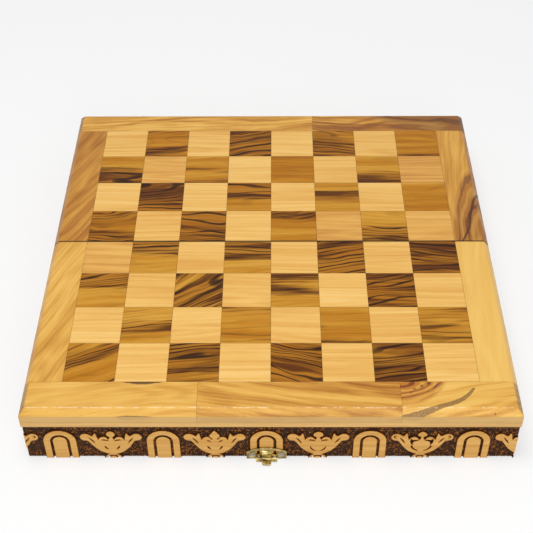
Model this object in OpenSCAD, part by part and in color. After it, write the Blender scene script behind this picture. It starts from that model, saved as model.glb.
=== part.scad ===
// Folding chess box: two equal trays, hinged along the seam, that open flat to
// make the board and close rim to rim to hold the chessmen.
// Frame: X to the right, Y away from the clasp, Z up. The rims lie at z = 0 and
// the seam runs along X at y = 0. Each half is drawn on its own side of the seam.

/* [Board] */
// Width across the eight files
board_w = 300; // [284:1:340]
// Depth of one half, from the seam line to its outer edge
half_d = 150; // [143:1:170]
// Side of one playing square
square = 31.6; // [26:0.2:34]
// Thickness of the squares and border boards
board_t = 10.5; // [8:0.5:14]
// Thickness of the panel that carries them
panel_t = 4; // [3:0.5:6]
// Width of the bevel round the board's outer edge
bevel_w = 3.5; // [1:0.5:6]
// Drop of that bevel
bevel_drop = 4.5; // [1:0.5:6]
// Gap between the two halves at the seam
seam_gap = 0.5; // [0.3:0.1:1]
// Joint in the front border, from the middle, on the left
front_joint_left = 44; // [20:0.5:90]
// Joint in the front border, from the middle, on the right
front_joint_right = 78; // [20:0.5:90]
// Joint in the rear border, right of the middle
rear_joint = 32; // [-80:1:80]

/* [Walls] */
// Height of the walls, rim to panel
wall_h = 30.5; // [26:0.5:45]
// Thickness of the walls
wall_t = 9; // [8:0.5:12]
// How far the walls stand back from the board's edge
wall_inset = 0.4; // [0:0.1:1.5]
// Gap left between the rims when the box is closed
rim_gap = 0.2; // [0.1:0.1:0.6]

/* [Carving] */
// Depth of the cut-away ground
relief = 1.2; // [0.8:0.1:2.5]
// Distance from arch to arch
arch_pitch = 62.9; // [50:0.1:75]
// Middle arch and clasp, measured from the middle of the box
band_shift = -2.6; // [-6:0.2:6]
// Outer width of an arch
arch_w = 20; // [16:0.5:26]
// Height of an arch above the rim
arch_h = 26.2; // [20:0.2:27.6]
// Width of the arch's ring
arch_ring = 4.1; // [2.5:0.1:5.5]
// Width of the groove inside the ring
arch_groove = 1.6; // [0.8:0.1:2.5]

/* [Hinges] */
// Length of a hinge along the seam
hinge_len = 28; // [20:1:40]
// Distance of each hinge's middle from the end of the box
hinge_inset = 62; // [40:1:90]
// Width of one leaf, from its knuckle to its edge
leaf_w = 6.4; // [5:0.2:7]
// Thickness of a leaf
leaf_t = 1; // [0.8:0.1:1.6]
// Outer diameter of the knuckles
knuckle_d = 2.6; // [2.4:0.1:4]
// Diameter of the hinge pin
hinge_pin_d = 1.3; // [1:0.1:1.6]
// Length of the hinge screws
hinge_screw_len = 10; // [6:1:14]

/* [Clasp] */
// Width of the clasp plate over its ears
plate_w = 24.6; // [20:0.2:30]
// Height of the ears at their outer ends
ear_h = 7.3; // [6:0.1:9]
// Height of the plate at the top of its arch
plate_h = 10.8; // [10:0.1:13]
// Thickness of the clasp's sheet brass
plate_t = 0.9; // [0.7:0.1:1.2]
// Outer diameter of the hasp's knuckles
hasp_knuckle_d = 2.3; // [2:0.1:2.6]
// Length of the hasp's hinge
hasp_w = 13; // [10:0.2:15]
// Length of the hasp's middle knuckle, and width of its tongue
tongue_w = 5.6; // [4:0.2:7]
// Reach of the tongue from its pin
tongue_len = 4.9; // [4.6:0.1:6]
// Diameter of the clasp pin
clasp_pin_d = 1; // [0.8:0.1:1.2]
// Distance between the two screws
screw_pitch = 18.1; // [16:0.1:22]
// Diameter of the stud that the tongue snaps over
stud_d = 1.8; // [1.4:0.1:2.2]

/* [Hidden] */

$fn = 48;
eps = 0.01;
files = 8;
half_ranks = 4;

FRONT = -1;
REAR = 1;
LEFT = -1;
RIGHT = 1;

// Fits
pin_clearance = 0.04;
knuckle_clearance = 0.3;
knuckle_play = 0.15;
screw_clearance = 0.05;
mortise_clearance = 0.1;
snap_clearance = 0.3;

// Heights
panel_z = wall_h;
board_z = panel_z + panel_t;
top_z = board_z + board_t;
axis_z = -rim_gap / 2;

// Plan of one half, drawn behind the seam
seam_y = seam_gap / 2;
half_w = board_w / 2;
squares_w = files * square;
squares_d = half_ranks * square;
side_border = (board_w - squares_w) / 2;
end_border_y = seam_y + squares_d;
wall_x = half_w - wall_inset;
wall_y = half_d - wall_inset;
inner_x = wall_x - wall_t;
inner_y = wall_y - wall_t;

// Carving
tongue_half = arch_w / 2 - arch_ring - arch_groove;
motif_scale = arch_h / 26.2;

// Hinges
hinge_x = half_w - hinge_inset;
knuckle_r = knuckle_d / 2;
knuckle_count = 5;
knuckle_step = hinge_len / knuckle_count;
leaf_y = knuckle_r + knuckle_clearance;
hinge_screw_spread = hinge_len * 0.32;
hinge_shank_r = 0.8;
hinge_head_r = 1.6;

// Screw heads
screw_slot = 0.45;
slot_depth = 0.35;

// Clasp: w is the distance out from the wall's carved face
face_y = wall_y;
hasp_r = hasp_knuckle_d / 2;
clasp_pin_r = clasp_pin_d / 2;
pin_w = plate_t + 0.85;
pin_z = hasp_r + 0.2;
plate_foot = 0.4;
window_z = 4.6;
window_top = 8.2;
strap_half = tongue_w / 2;
clasp_screw_z = 4;
clasp_shank_r = 1;
clasp_head_r = 1.75;
clasp_screw_len = 6.5;
tongue_t = 1.1;
tongue_in = 0.45;
pocket_depth = 0.6;
stud_to_tip = 1.6;
stud_below_pin = tongue_len - stud_to_tip;
// Closed, the rear half's height z stands at -rim_gap - z
stud_z = stud_below_pin - pin_z - rim_gap;
stud_reach = pin_w - tongue_in + pocket_depth - 0.15;

LIGHT = "burlywood";
OLIVE = "saddlebrown";
BRASS = "goldenrod";
STEEL = "silver";

// Draws its children on the given side of the seam
module half(side) {
    mirror([0, side == FRONT ? 1 : 0, 0]) children();
}

// Raised parts of the carving

module arch_outline(half_width, height) {
    translate([0, height - half_width]) circle(half_width);
    translate([-half_width, 0]) square([2 * half_width, height - half_width]);
}

module arch() {
    difference() {
        arch_outline(arch_w / 2, arch_h);
        translate([0, -eps]) arch_outline(arch_w / 2 - arch_ring, arch_h - arch_ring + eps);
    }
    arch_outline(tongue_half, arch_h - arch_ring - arch_groove);
}

// Half a palmette: from its foot up the bowl to the scroll at the end of the arm, over the
// pointed outer leaf and the round inner one to the bud in the middle
half_outline = [
    [0, 2.8], [2.2, 2.9], [4.2, 4.1], [6.4, 5.7], [8.6, 7.9], [10.6, 10.5], [12.2, 13.1], [13.5, 15.4],
    [14.7, 16.8], [16.4, 17.1], [18, 18.1], [18.8, 20], [18.3, 21.9], [16.8, 23.2], [14.9, 23.4],
    [13.3, 22.6], [12.1, 21.5], [11.1, 21.4], [10.4, 22.5], [9.5, 24], [8.9, 22.2], [8.4, 19.6],
    [8, 17.5], [7.4, 18.7], [6.5, 19.8], [5.1, 20.4], [3.6, 20.2], [2.6, 19.2], [1.9, 17.9],
    [1.3, 18.8], [1.4, 20.4], [2.3, 21.5], [2.6, 23], [2, 24.6], [1, 25.5], [0, 25.8]
];
// Pointed slits: between scroll and leaf, under the inner leaf, and beside the heart
arm_slit = [[13.6, 19.9], [12.1, 18.5], [10.9, 16.6], [10, 14.3], [11.6, 16.3], [12.6, 17.9]];
leaf_slit = [[6.4, 17.4], [4.6, 18], [2.9, 17.6], [1.6, 16.6], [3, 16.7], [4.6, 17.1]];
heart_slit = [[4.7, 11.6], [3.9, 10.9], [3.1, 9.7], [2.4, 8.2], [3.7, 9], [4.4, 10]];

module palmette_half() {
    difference() {
        polygon(half_outline);
        polygon(arm_slit);
        polygon(leaf_slit);
        polygon(heart_slit);
    }
    // ring and eye that meet their mirror images across the rims
    intersection() {
        translate([0, -4.1]) difference() {
            circle(7);
            circle(5.8);
        }
        square([6, 3]);
    }
    intersection() {
        translate([0, -1.4]) circle(2.6);
        square([3, 3]);
    }
}

module palmette() {
    scale(motif_scale) {
        palmette_half();
        mirror([1, 0]) palmette_half();
    }
}

// Band of arches and palmettes from x0 to x1, with an arch at x = middle
module band(x0, x1, middle) {
    first = floor((x0 - middle) / arch_pitch) - 1;
    last = ceil((x1 - middle) / arch_pitch) + 1;
    intersection() {
        translate([x0, 0]) square([x1 - x0, wall_h]);
        for (i = [first:last]) translate([middle + i * arch_pitch, 0]) {
            arch();
            translate([arch_pitch / 2, 0]) palmette();
        }
    }
}

// Plank from x0 to x1 with the band standing out of its face at y = 0, body behind
module carved_plank(x0, x1, middle) {
    translate([x0, relief, 0]) cube([x1 - x0, wall_t - relief, wall_h]);
    translate([0, relief + eps, 0]) rotate([90, 0, 0])
        linear_extrude(relief + eps) band(x0, x1, middle);
}

// Wood

module outer_wall(side) {
    color(LIGHT) difference() {
        // carved face turned outwards, x kept as it is on both sides
        if (side == FRONT) translate([0, -wall_y, 0]) carved_plank(-wall_x, wall_x, band_shift);
        else translate([0, wall_y, 0]) rotate(180) carved_plank(-wall_x, wall_x, -band_shift);
        half(side) screw_holes(clasp_screw_len);
    }
}

module side_wall(side, hand) {
    depth = inner_y - seam_y;
    middle = (inner_y + seam_y) / 2;
    color(LIGHT) translate([hand * wall_x, side * middle, 0]) rotate(hand * 90)
        carved_plank(-depth / 2, depth / 2, 0);
}

module seam_wall(side) {
    color(LIGHT) half(side) difference() {
        translate([-inner_x, seam_y, 0]) cube([2 * inner_x, wall_t, wall_h]);
        for (hand = [LEFT, RIGHT]) translate([hand * hinge_x, 0, 0]) hinge_mortise();
    }
}

module panel(side) {
    color(LIGHT) half(side) translate([-half_w, seam_y, panel_z])
        cube([board_w, half_d - seam_y, panel_t]);
}

// Whole top of one half with its bevelled outer edges, before it is cut up
module top_blank() {
    low = top_z - bevel_drop;
    intersection() {
        rotate([90, 0, 90]) translate([0, 0, -half_w]) linear_extrude(board_w)
            polygon([
                [seam_y, board_z], [half_d, board_z], [half_d, low],
                [half_d - bevel_w, top_z], [seam_y, top_z]
            ]);
        rotate([-90, 0, 0]) linear_extrude(half_d)
            polygon([
                [-half_w, -board_z], [half_w, -board_z], [half_w, -low],
                [half_w - bevel_w, -top_z], [bevel_w - half_w, -top_z], [-half_w, -low]
            ]);
    }
}

// Part of the top between x0 and x1, and between y0 and y1
module top_piece(side, x0, x1, y0, y1) {
    color(LIGHT) half(side) intersection() {
        top_blank();
        translate([x0, y0, board_z]) cube([x1 - x0, y1 - y0, board_t]);
    }
}

module end_board(side, x0, x1) {
    top_piece(side, x0, x1, end_border_y, half_d);
}

module side_border(side, hand) {
    x0 = hand == LEFT ? -half_w : squares_w / 2;
    top_piece(side, x0, x0 + side_border, seam_y, end_border_y);
}

// Squares of one colour: rank 0 is the front edge, and its left corner is dark
module squares(side, dark) {
    color(dark ? OLIVE : LIGHT)
    for (file = [0:files - 1], step = [0:half_ranks - 1]) {
        rank = side == FRONT ? half_ranks - 1 - step : half_ranks + step;
        if (((file + rank) % 2 == 0) == dark)
            half(side) translate([file * square - squares_w / 2, seam_y + step * square, board_z])
                cube([square, square, board_t]);
    }
}

// Hinges

module hinge_mortise() {
    cut = hinge_len + 2 * mortise_clearance;
    translate([-cut / 2, 0, -1]) cube([cut, leaf_y, 1 + knuckle_r + knuckle_clearance]);
    translate([-cut / 2, 0, -1])
        cube([cut, leaf_y + leaf_w + mortise_clearance, 1 + leaf_t]);
    for (i = [-1:1]) translate([i * hinge_screw_spread, leaf_y + leaf_w / 2, 0])
        cylinder(h = hinge_screw_len + screw_clearance, r = hinge_shank_r + screw_clearance);
}

// Knuckles: even ones on the front leaf, odd ones on the rear leaf
function is_mine(side, i) = (i % 2 == 0) == (side == FRONT);

module knuckle(i) {
    translate([i * knuckle_step - hinge_len / 2 + knuckle_play / 2, 0, axis_z]) rotate([0, 90, 0])
        cylinder(h = knuckle_step - knuckle_play, r = knuckle_r);
}

module hinge_leaf(side, hand) {
    color(BRASS) translate([hand * hinge_x, 0, 0]) half(side) difference() {
        union() {
            translate([-hinge_len / 2, leaf_y, 0]) cube([hinge_len, leaf_w, leaf_t]);
            for (i = [0:knuckle_count - 1]) if (is_mine(side, i)) {
                knuckle(i);
                translate([i * knuckle_step - hinge_len / 2 + knuckle_play / 2, 0, 0])
                    cube([knuckle_step - knuckle_play, leaf_y + eps, leaf_t]);
            }
        }
        translate([-hinge_len, 0, axis_z]) rotate([0, 90, 0])
            cylinder(h = 2 * hinge_len, r = hinge_pin_d / 2 + pin_clearance);
        for (i = [-1:1]) translate([i * hinge_screw_spread, leaf_y + leaf_w / 2, -eps]) {
            cylinder(h = leaf_t + 1, r = hinge_shank_r + screw_clearance);
            cylinder(h = hinge_head_r - hinge_shank_r, r1 = hinge_head_r + screw_clearance,
                     r2 = hinge_shank_r + screw_clearance);
        }
    }
}

module hinge_pin(hand) {
    color(BRASS) translate([hand * hinge_x - hinge_len / 2, 0, axis_z]) rotate([0, 90, 0])
        cylinder(h = hinge_len, r = hinge_pin_d / 2);
}

// Countersunk, slotted screw along +Z with its head's face at z = 0
module screw(length, shank_r, head_r, turn) {
    difference() {
        union() {
            cylinder(h = length, r = shank_r);
            cylinder(h = head_r - shank_r, r1 = head_r, r2 = shank_r);
        }
        rotate(turn) translate([-head_r - 1, -screw_slot / 2, -1])
            cube([2 * head_r + 2, screw_slot, 1 + slot_depth]);
    }
}

module hinge_screws(side) {
    color(STEEL) half(side) for (hand = [LEFT, RIGHT], i = [-1:1])
        translate([hand * hinge_x + i * hinge_screw_spread, leaf_y + leaf_w / 2, 0])
            screw(hinge_screw_len, hinge_shank_r, hinge_head_r, 35 + 70 * i + 20 * hand);
}

// Clasp, drawn on the rear side like everything else: x along the wall, w outwards

// Places its children, drawn in x and z with their thickness along +z, on the carved face
module on_face(w = 0) {
    translate([band_shift, face_y + w, 0]) rotate([90, 0, 0]) mirror([0, 0, 1]) children();
}

module screw_places(w = 0) {
    for (hand = [LEFT, RIGHT]) on_face(w) translate([hand * screw_pitch / 2, clasp_screw_z, 0])
        children();
}

module screw_holes(depth) {
    screw_places() mirror([0, 0, 1]) translate([0, 0, -1])
        cylinder(h = depth - plate_t + 1 + screw_clearance, r = clasp_shank_r + screw_clearance);
}

// Sheet outline shared by the clasp plate and the keeper
module plate_outline() {
    rise = plate_h - ear_h;
    bow_r = (pow(plate_w / 2, 2) + pow(rise, 2)) / (2 * rise);
    intersection() {
        translate([-plate_w / 2, plate_foot]) square([plate_w, plate_h]);
        translate([0, plate_h - bow_r]) circle(bow_r, $fn = 96);
    }
}

module plate_screw_cuts() {
    for (hand = [LEFT, RIGHT]) translate([hand * screw_pitch / 2, clasp_screw_z, -1]) {
        cylinder(h = 2 + plate_t, r = clasp_shank_r + screw_clearance);
        translate([0, 0, 1 + plate_t - (clasp_head_r - clasp_shank_r)])
            cylinder(h = clasp_head_r - clasp_shank_r + eps,
                     r1 = clasp_shank_r + screw_clearance, r2 = clasp_head_r + screw_clearance);
    }
}

module clasp_windows() {
    for (hand = [0, 1]) mirror([hand, 0]) translate([strap_half + 0.3, window_z])
        square([hasp_w / 2 - strap_half, window_top - window_z]);
}

module clasp_plate() {
    recess_top = pin_z + hasp_r + knuckle_clearance;
    recess_w = hasp_w + 2 * knuckle_clearance;
    color(BRASS) half(FRONT) on_face() difference() {
        union() {
            linear_extrude(plate_t) difference() {
                plate_outline();
                clasp_windows();
                translate([-recess_w / 2, 0]) square([recess_w, recess_top]);
            }
            // strap down to the middle knuckle, with the half-round boss on it
            translate([-strap_half, pin_z, 0]) cube([tongue_w, window_top - pin_z, plate_t]);
            intersection() {
                translate([-strap_half, 6.2, plate_t - 0.2]) rotate([0, 90, 0])
                    cylinder(h = tongue_w, r = 1.8);
                translate([-strap_half, 0, 0]) cube([tongue_w, plate_h, 4]);
            }
            translate([-strap_half, pin_z, pin_w]) rotate([0, 90, 0])
                cylinder(h = tongue_w, r = hasp_r);
            translate([-strap_half, pin_z, 0]) cube([tongue_w, hasp_r, pin_w]);
        }
        plate_screw_cuts();
        translate([-plate_w, pin_z, pin_w]) rotate([0, 90, 0])
            cylinder(h = 2 * plate_w, r = clasp_pin_r + pin_clearance);
    }
}

module clasp_pin() {
    color(BRASS) half(FRONT) on_face() translate([-hasp_w / 2, pin_z, pin_w]) rotate([0, 90, 0])
        cylinder(h = hasp_w, r = clasp_pin_r);
}

// The hasp lies out flat in front, as it does when the board is open on a table
module clasp_hasp() {
    knuckle_len = (hasp_w - tongue_w) / 2 - knuckle_play;
    color(BRASS) half(FRONT) on_face() difference() {
        union() {
            for (x = [-hasp_w / 2, hasp_w / 2 - knuckle_len])
                translate([x, pin_z, pin_w]) rotate([0, 90, 0])
                    cylinder(h = knuckle_len, r = hasp_r);
            // cross bar in front of the middle knuckle, then the round-ended tongue
            translate([-hasp_w / 2, pin_z - tongue_in, pin_w + hasp_r + knuckle_clearance])
                cube([hasp_w, tongue_t, 0.6]);
            for (x = [-hasp_w / 2, hasp_w / 2 - knuckle_len])
                translate([x, pin_z - tongue_in, pin_w])
                    cube([knuckle_len, tongue_t, hasp_r + knuckle_clearance + 0.1]);
            rotate([-90, 0, 0]) translate([0, 0, pin_z - tongue_in]) linear_extrude(tongue_t)
                tongue_outline();
        }
        translate([-hasp_w, pin_z, pin_w]) rotate([0, 90, 0])
            cylinder(h = 2 * hasp_w, r = clasp_pin_r + pin_clearance);
        // pocket that snaps over the stud, in the face that turns to the keeper
        translate([0, pin_z - tongue_in - eps, pin_w + stud_below_pin]) rotate([-90, 0, 0])
            cylinder(h = pocket_depth + eps, r = stud_d / 2 + snap_clearance);
    }
}

// Drawn in x and -w
module tongue_outline() {
    start = pin_w + hasp_r + knuckle_clearance;
    corner = 1.5;
    difference() {
        translate([-strap_half, -pin_w - tongue_len]) square([tongue_w, pin_w + tongue_len - start]);
        for (hand = [0, 1]) mirror([hand, 0])
            translate([strap_half - corner, -pin_w - tongue_len]) difference() {
                translate([0, -eps]) square([corner + eps, corner + eps]);
                translate([0, corner]) circle(corner);
            }
    }
}

module clasp_screws(side) {
    color(STEEL) half(side) screw_places(plate_t) mirror([0, 0, 1])
        screw(clasp_screw_len, clasp_shank_r, clasp_head_r, 20);
}

module keeper_plate() {
    color(BRASS) half(REAR) on_face() difference() {
        linear_extrude(plate_t) plate_outline();
        plate_screw_cuts();
        translate([0, stud_z, -1]) cylinder(h = plate_t + 2, r = stud_d / 2 + screw_clearance);
    }
}

module keeper_stud() {
    color(BRASS) half(REAR) on_face() translate([0, stud_z, 0])
        cylinder(h = stud_reach, r = stud_d / 2);
}

outer_wall(FRONT);  // front_wall
side_wall(FRONT, LEFT);  // front_left_wall
side_wall(FRONT, RIGHT);  // front_right_wall
seam_wall(FRONT);  // front_seam_wall
panel(FRONT);  // front_panel
end_board(FRONT, -half_w, -front_joint_left);  // front_left_board
end_board(FRONT, -front_joint_left, front_joint_right);  // front_middle_board
end_board(FRONT, front_joint_right, half_w);  // front_right_board
side_border(FRONT, LEFT);  // front_left_border
side_border(FRONT, RIGHT);  // front_right_border
squares(FRONT, false);  // front_light_squares
squares(FRONT, true);  // front_dark_squares
outer_wall(REAR);  // rear_wall
side_wall(REAR, LEFT);  // rear_left_wall
side_wall(REAR, RIGHT);  // rear_right_wall
seam_wall(REAR);  // rear_seam_wall
panel(REAR);  // rear_panel
end_board(REAR, -half_w, rear_joint);  // rear_left_board
end_board(REAR, rear_joint, half_w);  // rear_right_board
side_border(REAR, LEFT);  // rear_left_border
side_border(REAR, RIGHT);  // rear_right_border
squares(REAR, false);  // rear_light_squares
squares(REAR, true);  // rear_dark_squares
hinge_leaf(FRONT, LEFT);  // left_hinge_front_leaf
hinge_leaf(REAR, LEFT);  // left_hinge_rear_leaf
hinge_pin(LEFT);  // left_hinge_pin
hinge_leaf(FRONT, RIGHT);  // right_hinge_front_leaf
hinge_leaf(REAR, RIGHT);  // right_hinge_rear_leaf
hinge_pin(RIGHT);  // right_hinge_pin
hinge_screws(FRONT);  // front_hinge_screws
hinge_screws(REAR);  // rear_hinge_screws
clasp_plate();
clasp_pin();
clasp_hasp();
clasp_screws(FRONT);
keeper_plate();
keeper_stud();
clasp_screws(REAR);  // keeper_screws
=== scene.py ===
import math

import bmesh
import bpy
import numpy as np
from mathutils import Matrix


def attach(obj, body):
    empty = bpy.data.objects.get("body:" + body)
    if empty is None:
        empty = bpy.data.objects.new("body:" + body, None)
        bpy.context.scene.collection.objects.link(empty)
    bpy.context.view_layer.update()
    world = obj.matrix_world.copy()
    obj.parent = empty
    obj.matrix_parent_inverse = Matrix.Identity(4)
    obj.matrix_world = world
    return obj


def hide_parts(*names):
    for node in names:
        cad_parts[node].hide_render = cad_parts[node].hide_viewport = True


# Folding chess box lying open: the CAD frame is loaded and its wooden and metal nodes are
# dressed. Lengths in the settings are in millimetres, noise rates on grain are per millimetre.
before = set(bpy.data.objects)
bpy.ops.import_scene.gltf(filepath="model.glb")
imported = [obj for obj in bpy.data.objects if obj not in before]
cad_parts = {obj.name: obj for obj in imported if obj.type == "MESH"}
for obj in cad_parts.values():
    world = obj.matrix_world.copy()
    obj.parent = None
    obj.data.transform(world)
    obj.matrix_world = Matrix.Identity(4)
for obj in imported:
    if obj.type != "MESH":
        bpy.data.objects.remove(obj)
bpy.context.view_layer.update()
mm = 0.001
bodies = {-1: "front_half", 1: "rear_half"}
words = {-1: "front", 1: "rear"}
print("frame loaded:", len(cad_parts), "nodes")


camera = {"place": (2.127, -563.989, 555.262), "yaw": -0.544, "pitch": 43.448, "roll": -0.424,
          "lens": 74.62}
# each lamp has its place, its size and its watts
studio = {"world": 0.42, "top": ((-150, -150, 1250), 560, 8.2), "front": ((150, -900, 420), 600, 2.9)}
floor = {"half": 4000, "height": -0.02, "opacity": 0.42, "colour": (0.93, 0.93, 0.93, 1)}


def placeCamera(settings):
    # yaw turns it about Z, pitch tips it down, roll turns it about its own view line
    yaw, pitch, roll = (math.radians(settings[k]) for k in ("yaw", "pitch", "roll"))
    ahead = np.array([math.sin(yaw) * math.cos(pitch), math.cos(yaw) * math.cos(pitch), -math.sin(pitch)])
    right = np.array([math.cos(yaw), -math.sin(yaw), 0])
    up = np.cross(right, ahead)
    right, up = (math.cos(roll) * right + math.sin(roll) * up,
                 -math.sin(roll) * right + math.cos(roll) * up)
    data = bpy.data.cameras.new("photoCamera")
    data.lens, data.sensor_width = settings["lens"], 36
    data.clip_start, data.clip_end = 0.01, 50
    eye = bpy.data.objects.new("photoCamera", data)
    rows = np.column_stack([right, up, -ahead, np.array(settings["place"]) * mm])
    eye.matrix_world = Matrix([*rows.tolist(), [0, 0, 0, 1]])
    bpy.context.collection.objects.link(eye)
    bpy.context.scene.camera = eye


def areaLight(name, place, size, watts):
    # square soft lamp that looks at the middle of the board
    data = bpy.data.lights.new(name, "AREA")
    data.size, data.energy = size * mm, watts
    lamp = bpy.data.objects.new(name, data)
    spot = np.array(place, float)
    back = spot / np.linalg.norm(spot)
    right = np.cross([0, 0, 1], back)
    right /= np.linalg.norm(right)
    rows = np.column_stack([right, np.cross(back, right), back, spot * mm])
    lamp.matrix_world = Matrix([*rows.tolist(), [0, 0, 0, 1]])
    bpy.context.collection.objects.link(lamp)


def linear(red, green, blue):
    # screen colour in 0..255 to the linear colour that a shader takes
    parts = [c / 255 for c in (red, green, blue)]
    return (*[c / 12.92 if c <= 0.04045 else ((c + 0.055) / 1.055) ** 2.4 for c in parts], 1.0)


def put(tree, socket, value):
    # a socket given as the value is linked, anything else is written in
    if isinstance(value, bpy.types.NodeSocket):
        tree.links.new(value, socket)
    else:
        socket.default_value = value


def node(tree, kind, inputs=(), **settings):
    # shader node with its inputs by name or number and its settings by keyword
    made = tree.nodes.new("ShaderNode" + kind)
    for key, value in settings.items():
        setattr(made, key, value)
    for key, value in dict(inputs).items():
        put(tree, made.inputs[key], value)
    return made


def maths(tree, operation, a, b=0.0):
    # one operation on a, or on a and b
    return node(tree, "Math", {0: a, 1: b}, operation=operation).outputs[0]


def plus(tree, a, b, factor):
    # a plus b times the factor
    return maths(tree, "ADD", a, maths(tree, "MULTIPLY", b, factor))


def stretched(tree, vector, factors):
    # the vector times the factors, axis by axis
    return node(tree, "VectorMath", {0: vector, 1: factors}, operation="MULTIPLY").outputs[0]


def noiseAt(tree, vector, factors, detail=2.0, rough=0.5):
    # fractal noise of the vector, stretched by the factors per millimetre
    return node(tree, "TexNoise", {"Vector": stretched(tree, vector, factors), "Scale": 1.0,
                "Detail": detail, "Roughness": rough}).outputs[0]


def ramp(tree, factor, stops, smooth=False):
    # colour at the factor, straight or eased between stops of a place and a colour
    made = node(tree, "ValToRGB", {0: factor})
    band = made.color_ramp
    band.interpolation = "EASE" if smooth else "LINEAR"
    while len(band.elements) < len(stops):
        band.elements.new(1.0)
    for element, (place, colour) in zip(band.elements, sorted(stops, key=lambda s: s[0])):
        element.position, element.color = place, colour
    return made.outputs[0]


def grey(level):
    # one brightness as a colour
    return (level, level, level, 1)


def greyRamp(tree, factor, *stops):
    # stops are pairs of a place and a brightness
    return ramp(tree, factor, [(place, grey(level)) for place, level in stops])


def mixed(tree, factor, a, b, blend="MIX"):
    # a with b over it by the factor
    made = node(tree, "Mix", data_type="RGBA", blend_type=blend)
    for index, value in ((0, factor), (6, a), (7, b)):
        put(tree, made.inputs[index], value)
    return made.outputs[2]


def shaded(tree, colour, shade):
    # colour times shade
    return mixed(tree, 1.0, colour, shade, "MULTIPLY")


def attribute(tree, name, output="Fac"):
    # a value that the mesh carries at its points
    return node(tree, "Attribute", attribute_name=name).outputs[output]


def newMaterial(name):
    # material with an empty node tree
    material = bpy.data.materials.new(name)
    material.use_nodes = True
    material.node_tree.nodes.clear()
    return material, material.node_tree


def finishSurface(tree, colour, rough, bumpHeight, bumpDistance, **sockets):
    # principled surface with one bump, the fixed numbers on its own sockets
    bump = node(tree, "Bump", {"Height": bumpHeight, "Distance": bumpDistance * mm, "Strength": 1.0})
    surface = node(tree, "BsdfPrincipled", {"Base Color": colour, "Roughness": rough,
                   "Normal": bump.outputs[0]})
    for key, value in sockets.items():
        surface.inputs[key.replace("_", " ")].default_value = value
    node(tree, "OutputMaterial", {"Surface": surface.outputs[0]})


paleLook = {"bend": 2.5, "bendRate": (0.011, 0.03, 0.03), "bandRate": (0.003, 0.10, 0.1), "band": 0.36,
            "lineRate": (0.004, 0.62, 0.3), "line": 0.36, "fibreRate": (0.10, 3.4, 3.4), "fibre": 0.28,
            "ringRate": (0.002, 0.035, 0.03), "ringTurns": 100, "ring": 0.05, "gain": 1.05, "tone": 0.12,
            "rough": 0.40,
            "stops": [(0.18, linear(194, 130, 54)), (0.40, linear(222, 166, 80)),
                      (0.58, linear(236, 187, 101)), (0.82, linear(246, 207, 132))]}
borderLook = {"bend": 20, "bendRate": (0.009, 0.020, 0.03), "bandRate": (0.006, 0.075, 0.1),
              "band": 0.50, "lineRate": (0.008, 0.55, 0.3), "line": 0.34,
              "fibreRate": (0.10, 2.6, 2.6), "fibre": 0.22, "ringRate": (0.005, 0.030, 0.03),
              "ringTurns": 85, "ring": 0.04, "gain": 1.6, "tone": 0.15, "rough": 0.38,
              "stops": [(0.02, linear(132, 78, 22)), (0.20, linear(164, 100, 26)),
                        (0.40, linear(206, 148, 58)), (0.56, linear(227, 175, 82)),
                        (0.84, linear(241, 198, 108))]}
panelLook = {"bend": 8, "bendRate": (0.010, 0.02, 0.03), "bandRate": (0.005, 0.2, 0.3), "band": 0.4,
             "lineRate": (0.006, 0.6, 0.9), "line": 0.35, "fibreRate": (0.1, 3.0, 3.0), "fibre": 0.25,
             "ringRate": (0.004, 0.1, 0.12), "ringTurns": 60, "ring": 0.04, "gain": 1.2, "tone": 0.10,
             "rough": 0.5,
             "stops": [(0.22, linear(186, 138, 74)), (0.45, linear(212, 166, 96)),
                       (0.62, linear(224, 180, 108)), (0.82, linear(234, 194, 124))]}
plainLook = dict(panelLook, rough=0.6)
oliveLook = {"bend": 15, "bendRate": (0.012, 0.036, 0.05), "zoneRate": (0.007, 0.058, 0.06),
             "ringRate": (0.007, 0.036, 0.04), "ringTurns": 70, "ringPitch": 1.45,
             "smearRate": (0.011, 0.15, 0.2), "streakRate": (0.009, 0.46, 0.3),
             "baseRate": (0.006, 0.14, 0.1), "fibreRate": (0.10, 2.8, 2.8), "fibre": 0.3, "tone": 0.14,
             "brownShare": 0.54, "rough": 0.38,
             "plain": [(0.18, linear(146, 84, 12)), (0.42, linear(184, 120, 28)),
                       (0.60, linear(204, 146, 50)), (0.82, linear(220, 168, 74))],
             "brown": linear(152, 88, 16), "dark": linear(90, 46, 8), "darkest": linear(38, 16, 3)}
heart = {"light": linear(212, 152, 66), "middle": linear(184, 114, 34), "dark": linear(122, 62, 12),
         "rate": (0.014, 0.09, 0.1), "turns": 68, "wander": 17, "edgeWander": 0.16}
marks = {"knot": linear(90, 58, 34), "bark": linear(172, 132, 70), "barkDark": linear(108, 74, 32),
         "vein": linear(66, 32, 8), "speckleRate": (1.3, 2.0, 2.0), "speckle": 0.4}
# heights of the upright edge in millimetres: where it gives way to the bevel, and its glue line
# arris is the colour of the painted highlight along the bevel's upper edge, broken into dashes by dashRate
outerEdge = {"arris": linear(255, 238, 200), "dashRate": (260, 60, 60), "endShade": 0.60,
             "side": linear(204, 166, 104), "sideShare": 0.80, "range": 50, "bevel": (40.15, 40.4),
             "glue": (34.6, 35.0), "glueShade": 0.62}
# brightness of the painted shade in the seam, the rim value at a glue line and where its shade has ended,
# and the width along the seam that is painted darkest
glueAndSeamShade = {"seamShade": 0.16, "at": 0.3, "end": 0.6, "worn": 0.1}


def grainVector(tree, fromAttribute):
    # millimetres in the board's own grain frame: x along the fibres
    if fromAttribute:
        return attribute(tree, "grain", "Vector")
    place = node(tree, "TexCoord").outputs["Object"]
    return stretched(tree, place, (1000, 1000, 1000))


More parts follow.
